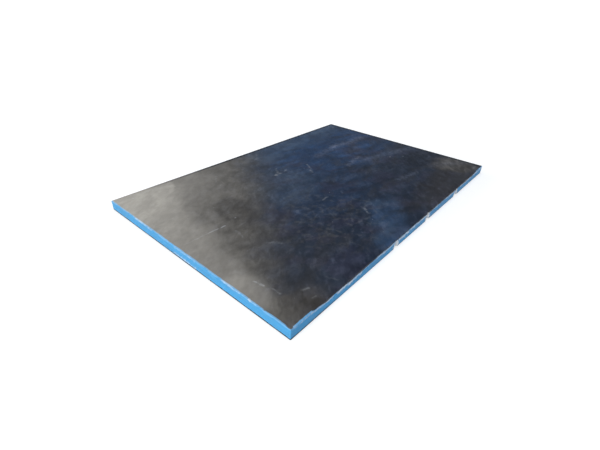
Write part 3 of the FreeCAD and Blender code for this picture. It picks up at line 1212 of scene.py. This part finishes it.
def film_finish(name, colours, scratches):
    """Satin resin film with dust, grit, flecks and scratches; its colour holds a painted sheen, a painted sky
    reflection and a painted shade along the far rims.
    """
    material, nodes, shader = new_material(name, Specular_IOR_Level=0.07)
    flat, resin = film_resin(nodes, nodes.coordinates(), colours)
    specks = effect("Specks", make_specks)

    grit = nodes.group(specks, vector=flat, scale=90.0, size=0.18, share=0.16)["Mask"]
    long_flat = nodes.vector("MULTIPLY", flat, (1, 1.5, 1))
    flecks = nodes.group(specks, vector=long_flat, scale=26.0, size=0.13, share=0.3)["Mask"]
    marks = nodes.largest(
        nodes.product(grit, nodes.step(resin["Mottle"], 0.2, 1.0, 0.0, GRIT_MARKS)),
        nodes.product(flecks, FLECK_MARKS),
        *(stroke_mask(nodes, flat, scratch) for scratch in scratches),
    )
    nodes.feed(shader.inputs["Base Color"], nodes.blend(marks, resin["Color"], rgba(colours.scratch)))

    satin = nodes.vary(resin["Mottle"], 0.33, 0.42)
    nodes.feed(shader.inputs["Roughness"], nodes.math("MULTIPLY_ADD", resin["Dust and sheen"], 0.3, satin))

    grain = nodes.stretched_noise(flat, (150, 210, 1), detail=4.0)
    relief = nodes.math("MULTIPLY_ADD", grit, 0.8, grain)
    nodes.feed(shader.inputs["Normal"], nodes.bump(relief, strength=0.10, distance=0.3 * MM))
    return material


def edge_sides(nodes, axes, form):
    """Masks of the chipped long side, the near side, the two far sides and the long side's middle."""
    long_side = nodes.step(axes["Y"], *(inset - form.half_y for inset in SIDE_INSETS))
    near_side = nodes.step(axes["X"], *(inset - form.half_x for inset in SIDE_INSETS))
    far_sides = nodes.math("SUBTRACT", 1.0, nodes.largest(long_side, near_side))
    along = nodes.math("ABSOLUTE", axes["X"])
    middle = nodes.step(along, *(form.half_x - inset for inset in END_INSETS), 1.0, 0.0)
    return SimpleNamespace(
        long=long_side, near=near_side, far=far_sides, wrapped=nodes.product(long_side, middle)
    )


def height_over_paint(nodes, place, height, sides, form):
    """How far a point lies above the ragged line where the paint ends and bare film begins."""
    drop = nodes.math("MULTIPLY_ADD", sides.wrapped, LONG_DROP, -BARE_RISE)
    drop = nodes.math("MULTIPLY_ADD", sides.far, FAR_DROP, drop)
    ragged = nodes.swing(place, scale=38.0, detail=5.0, roughness=0.62)
    sway = nodes.math("MULTIPLY", ragged, nodes.vary(sides.wrapped, *BARE_SWAY))
    line = nodes.math("SUBTRACT", nodes.math("SUBTRACT", form.top, drop), sway)
    return nodes.math("SUBTRACT", height, line)


def chip_rims():
    """Marks of flaked paint up both sides of each chip."""
    marks = []
    for chip in CHIPS:
        for side in (-0.5, 0.5):
            foot = ((chip.place + side * chip.foot) / MM, 0)
            crest = ((chip.place + chip.lean + side * CHIP_CREST_WIDTH) / MM, chip.crest / MM)
            marks.append((foot, crest, *CHIP_FLAKING))
    return marks


def pale_wear_and_highlight(nodes, place, axes, sides, over_paint):
    """Paint worn pale, with a painted highlight of the upper arris: below the bare film, at the listed
    stretches and by the chips.
    """
    # A pale strip below the bare film: worn paint with a painted highlight of the arris.
    pale_strip_noise = nodes.step(nodes.noise(place, scale=26.0, detail=4.0, roughness=0.6), 0.38, 0.60)
    reach = nodes.math("MULTIPLY_ADD", pale_strip_noise, PALE_STRIP_REACH, over_paint)
    worn_and_highlight = nodes.step(reach, -PALE_STRIP_BLUR, PALE_STRIP_BLUR)
    worn_and_highlight = nodes.product(worn_and_highlight, nodes.vary(sides.wrapped, *PALE_STRIP_STRENGTH))
    long_plane = nodes.join(axes["X"], axes["Z"], 0.0)
    near_plane = nodes.join(axes["Y"], axes["Z"], 0.0)
    for plane, side, marks in (
        (long_plane, sides.long, LONG_WEAR_AND_HIGHLIGHTS + chip_rims()),
        (near_plane, sides.near, NEAR_WEAR_AND_HIGHLIGHTS),
    ):
        for mark in marks:
            worn_and_highlight = nodes.largest(worn_and_highlight, nodes.product(stroke_mask(nodes, plane, mark), side))
    fleck = nodes.step(nodes.noise(place, scale=260.0, detail=3.0), 0.38, 0.62, 0.85, 1.0)
    return nodes.math("MULTIPLY", worn_and_highlight, fleck, clamp=True)


def painted_foot_shade(nodes, place, axes, form):
    """A painted contact shadow along the lower arris, strongest round the near side."""
    reach = nodes.step(nodes.noise(place, scale=60.0, detail=3.0), 0.3, 0.7, *FOOT_SHADE_HEIGHT)
    foot_shade = nodes.step(nodes.math("SUBTRACT", axes["Z"], reach), *FOOT_SHADE_FADE, 1.0, 0.0)
    foot_shade_stretch = nodes.step(axes["X"], *(run - form.half_x for run in FOOT_SHADE_STRETCH), 1.0, FOOT_SHADE_LEFT)
    return nodes.product(foot_shade, foot_shade_stretch)


def paint_finish(colours, form, sizes):
    """Blue edge paint with ply lines and streaks, worn pale with a painted highlight on the upper arris, and
    with a painted contact shadow at the foot.
    """
    material, nodes, shader = new_material("blue_edge_paint", Specular_IOR_Level=0.15)
    place = nodes.coordinates()
    axes = nodes.separate(place)
    height = axes["Z"]
    stack = ply_stack(nodes, height, form, sizes, line=0.16)
    streaks = nodes.stretched_noise(place, (14, 14, 160), detail=5.0, roughness=0.6)
    saw_marks = nodes.stretched_noise(place, (420, 420, 12), detail=3.0, roughness=0.6)
    cloudy = {"stretch": (18, 18, 30), "turn": 0.0, "detail": 6.0, "low": 0.35, "high": 0.7}
    clouds = nodes.group(effect("Smears", make_smears), vector=place, **cloudy)["Mask"]
    dark = rgba(colours.paint, DARK_PAINT)
    light = rgba(colours.paint, LIGHT_PAINT)
    colour = nodes.blend(nodes.step(streaks, 0.3, 0.7), rgba(colours.paint), light)
    colour = nodes.blend(nodes.product(stack["Glue"], GLUE_LINES), colour, dark)
    colour = nodes.blend(nodes.product(clouds, PAINT_CLOUDS), colour, dark)

    sides = edge_sides(nodes, axes, form)
    over_paint = height_over_paint(nodes, place, height, sides, form)
    # Paint worn pale, with a painted highlight on the upper arris.
    worn_and_highlight = pale_wear_and_highlight(nodes, place, axes, sides, over_paint)
    colour = nodes.blend(worn_and_highlight, colour, rgba(colours.worn_paint_and_highlight))
    _, resin = film_resin(nodes, place, colours)
    bare = nodes.step(over_paint, -BARE_BLUR, BARE_BLUR)
    thin_lap = nodes.step(height, form.top - THIN_LAP, form.top, 0.0, LAP_SHOWS_FILM)
    colour = nodes.blend(nodes.largest(bare, thin_lap), colour, resin["Color"])
    # Painted contact shadow at the foot of the edges.
    colour = nodes.blend(painted_foot_shade(nodes, place, axes, form), colour, rgba(colours.foot_shade))
    specks = effect("Specks", make_specks)
    grit = nodes.group(specks, vector=place, scale=140.0, size=0.22, share=0.10)["Mask"]
    colour = nodes.blend(nodes.product(grit, PAINT_GRIT), colour, rgba(colours.worn_paint_and_highlight))
    nodes.feed(shader.inputs["Base Color"], colour)
    nodes.feed(shader.inputs["Roughness"], nodes.step(streaks, 0.2, 0.8, 0.42, 0.6))

    relief = nodes.math("MULTIPLY_ADD", saw_marks, 0.6, nodes.product(stack["Glue"], -0.5))
    nodes.feed(shader.inputs["Normal"], nodes.bump(relief, strength=0.25, distance=0.3 * MM))
    return material


def veneer_finish(colours, form, sizes):
    """Torn veneer: face grain and end grain by turns, with darker glue lines and fibres."""
    material, nodes, shader = new_material("torn_veneer", Specular_IOR_Level=0.2, Roughness=0.85)
    place = nodes.coordinates()
    stack = ply_stack(nodes, nodes.separate(place)["Z"], form, sizes, line=0.12)
    fibres = nodes.stretched_noise(place, (160, 900, 1500), detail=4.0, roughness=0.6)
    pores = nodes.stretched_noise(place, (1500, 200, 1500), detail=3.0, roughness=0.6)
    face = nodes.blend(nodes.step(fibres, 0.3, 0.7), rgba(colours.veneer), rgba(colours.veneer, 0.92))
    end = nodes.blend(nodes.step(pores, 0.35, 0.7), rgba(colours.end_grain), rgba(colours.veneer))
    colour = nodes.blend(stack["Turn"], face, end)
    colour = nodes.blend(nodes.product(stack["Glue"], 0.45), colour, rgba(colours.glue))
    nodes.feed(shader.inputs["Base Color"], colour)
    relief = nodes.math("MULTIPLY_ADD", pores, 0.5, fibres)
    nodes.feed(shader.inputs["Normal"], nodes.bump(relief, strength=0.35, distance=0.4 * MM))
    return material


def floor_finish(colour):
    """A pale floor that the camera and reflections see as white, with the shadow kept; unseen from below."""
    material = bpy.data.materials.new("pale_floor")
    material.use_nodes = True
    tree = material.node_tree
    tree.nodes.clear()
    nodes = Nodes(tree)
    rays = nodes.add("ShaderNodeLightPath").outputs
    seen = nodes.largest(rays["Is Camera Ray"], rays["Is Glossy Ray"], rays["Is Transmission Ray"])
    distance = nodes.vector("LENGTH", nodes.coordinates())
    lift = nodes.step(distance, *GLOW_REACH, *GLOW_STRENGTH)
    glow = nodes.add("ShaderNodeEmission", {"Strength": nodes.math("MULTIPLY", seen, lift)})
    matt = nodes.add("ShaderNodeBsdfDiffuse", {"Color": rgba(colour)})
    lit = nodes.add("ShaderNodeAddShader", {0: matt.outputs[0], 1: glow.outputs[0]})
    clear = nodes.add("ShaderNodeBsdfTransparent")
    back = nodes.add("ShaderNodeNewGeometry").outputs["Backfacing"]
    both = nodes.add("ShaderNodeMixShader", {0: back, 1: lit.outputs[0], 2: clear.outputs[0]})
    nodes.add("ShaderNodeOutputMaterial", {"Surface": both.outputs[0]})
    return material


# Stage


def build_floor(colour):
    """A round floor that turns up a little at its far rim."""
    points = [(0.0, 0.0, -FLOOR_GAP)]
    for radius in FLOOR_RADII:
        share = max(0.0, (radius - FLOOR_FLAT) / (FLOOR_RADII[-1] - FLOOR_FLAT))
        height = FLOOR_RISE * share**2 - FLOOR_GAP
        for spoke in range(FLOOR_SPOKES):
            angle = math.tau * spoke / FLOOR_SPOKES
            points.append((radius * math.cos(angle), radius * math.sin(angle), height))
    faces = [(0, 1 + spoke, 1 + (spoke + 1) % FLOOR_SPOKES) for spoke in range(FLOOR_SPOKES)]
    for ring in range(len(FLOOR_RADII) - 1):
        inner = 1 + ring * FLOOR_SPOKES
        outer = inner + FLOOR_SPOKES
        for spoke in range(FLOOR_SPOKES):
            following = (spoke + 1) % FLOOR_SPOKES
            faces.append((inner + spoke, outer + spoke, outer + following, inner + following))
    floor = add_mesh("studio_floor", points, faces, floor_finish(colour))
    smooth(floor, 60)


def add_softbox(softbox):
    """A rectangular lamp of an even brightness."""
    lamp = bpy.data.lights.new(softbox.name, "AREA")
    lamp.shape = "RECTANGLE"
    lamp.size, lamp.size_y = softbox.size
    lamp.energy = softbox.radiance * math.pi * softbox.size[0] * softbox.size[1]
    lamp.color = softbox.colour
    box = bpy.data.objects.new(softbox.name, lamp)
    bpy.context.scene.collection.objects.link(box)
    box.location = softbox.place
    forward = Vector(softbox.aim) - Vector(softbox.place)
    box.rotation_euler = forward.to_track_quat("-Z", "Y").to_euler()


def set_world(colour):
    """An even, pale surround."""
    world = bpy.data.worlds.new("pale_surround")
    world.use_nodes = True
    background = world.node_tree.nodes["Background"]
    background.inputs["Color"].default_value = rgba(colour)
    background.inputs["Strength"].default_value = 1.0
    bpy.context.scene.world = world


def set_camera(stage):
    """The camera at the photograph's place."""
    lens = bpy.data.cameras.new("camera")
    lens.lens = stage.camera_lens
    lens.sensor_width = CAMERA_SENSOR
    lens.clip_start, lens.clip_end = CAMERA_CLIP
    camera = bpy.data.objects.new("camera", lens)
    bpy.context.scene.collection.objects.link(camera)
    camera.location = stage.camera_place
    forward = Vector(stage.camera_aim) - Vector(stage.camera_place)
    camera.rotation_mode = "QUATERNION"
    camera.rotation_quaternion = forward.to_track_quat("-Z", "Y") @ Quaternion((0, 0, 1), stage.camera_roll)
    bpy.context.scene.camera = camera


class PLYWOOD_OT_build_core(bpy.types.Operator):
    """Build the pressed veneers, broken out at the chips"""

    bl_idname = "plywood.build_core"
    bl_label = "Veneer core"

    def execute(self, context):
        settings = context.scene.plywood
        form = measure_frame()
        material = veneer_finish(settings.colours, form, settings.sizes)
        core = build_core(form, settings.sizes, material)
        break_out_chips(core, form, settings.sizes, material)
        declare(core, "veneer_core")
        return {"FINISHED"}


class PLYWOOD_OT_build_films(bpy.types.Operator):
    """Build the upper film, with its scratches, and the lower film, broken out at the chips"""

    bl_idname = "plywood.build_films"
    bl_label = "Phenolic films"

    def execute(self, context):
        settings = context.scene.plywood
        sizes = settings.sizes
        upper_resin = film_finish("upper_film_resin", settings.colours, SCRATCHES)
        upper = build_film("upper_film", *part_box("top_film"), sizes, 1, upper_resin)
        declare(upper, "top_film")
        lower_resin = film_finish("lower_film_resin", settings.colours, [])
        lower = build_film("lower_film", *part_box("bottom_film"), sizes, -1, lower_resin)
        break_out_chips(lower, measure_frame(), sizes, lower_resin)
        declare(lower, "bottom_film")
        return {"FINISHED"}


class PLYWOOD_OT_build_seal(bpy.types.Operator):
    """Build the coat of blue paint round the edges, broken out at the chips"""

    bl_idname = "plywood.build_seal"
    bl_label = "Edge paint"

    def execute(self, context):
        settings = context.scene.plywood
        form = measure_frame()
        material = paint_finish(settings.colours, form, settings.sizes)
        seal = build_seal(form, settings.sizes, material)
        break_out_chips(seal, form, settings.sizes, material)
        smooth(seal, 50)
        declare(seal, "edge_seal")
        return {"FINISHED"}


class PLYWOOD_OT_set_stage(bpy.types.Operator):
    """Set the floor, the lamps, the surround and the camera"""

    bl_idname = "plywood.set_stage"
    bl_label = "Stage"

    def execute(self, context):
        stage = context.scene.plywood.stage
        build_floor(stage.floor_colour)
        for softbox in SOFTBOXES:
            add_softbox(softbox)
        set_world(stage.world_colour)
        set_camera(stage)
        context.scene.view_settings.view_transform = "Standard"
        return {"FINISHED"}


class PLYWOOD_PT_sheet(bpy.types.Panel):
    """Sizes, colours and build steps of the sheet"""

    bl_idname = "PLYWOOD_PT_sheet"
    bl_label = "Plywood sheet"
    bl_space_type = "VIEW_3D"
    bl_region_type = "UI"
    bl_category = "Plywood"

    def draw(self, context):
        settings = context.scene.plywood
        for group in (settings.sizes, settings.colours, settings.stage):
            box = self.layout.box()
            for name in group.__annotations__:
                box.prop(group, name)
        for step in BUILD_STEPS:
            self.layout.operator(step.bl_idname)


BUILD_STEPS = [PLYWOOD_OT_build_core, PLYWOOD_OT_build_films, PLYWOOD_OT_build_seal, PLYWOOD_OT_set_stage]
SETTINGS = [SheetSizes, SheetColours, StageSettings, PlywoodSettings]


def register():
    for kind in [*SETTINGS, *BUILD_STEPS, PLYWOOD_PT_sheet]:
        bpy.utils.register_class(kind)
    bpy.types.Scene.plywood = PointerProperty(type=PlywoodSettings)


def unregister():
    del bpy.types.Scene.plywood
    for kind in reversed([*SETTINGS, *BUILD_STEPS, PLYWOOD_PT_sheet]):
        bpy.utils.unregister_class(kind)


def main():
    register()
    bpy.ops.plywood.build_core()
    bpy.ops.plywood.build_films()
    bpy.ops.plywood.build_seal()
    bpy.ops.plywood.set_stage()


if __name__ == "__main__":
    main()
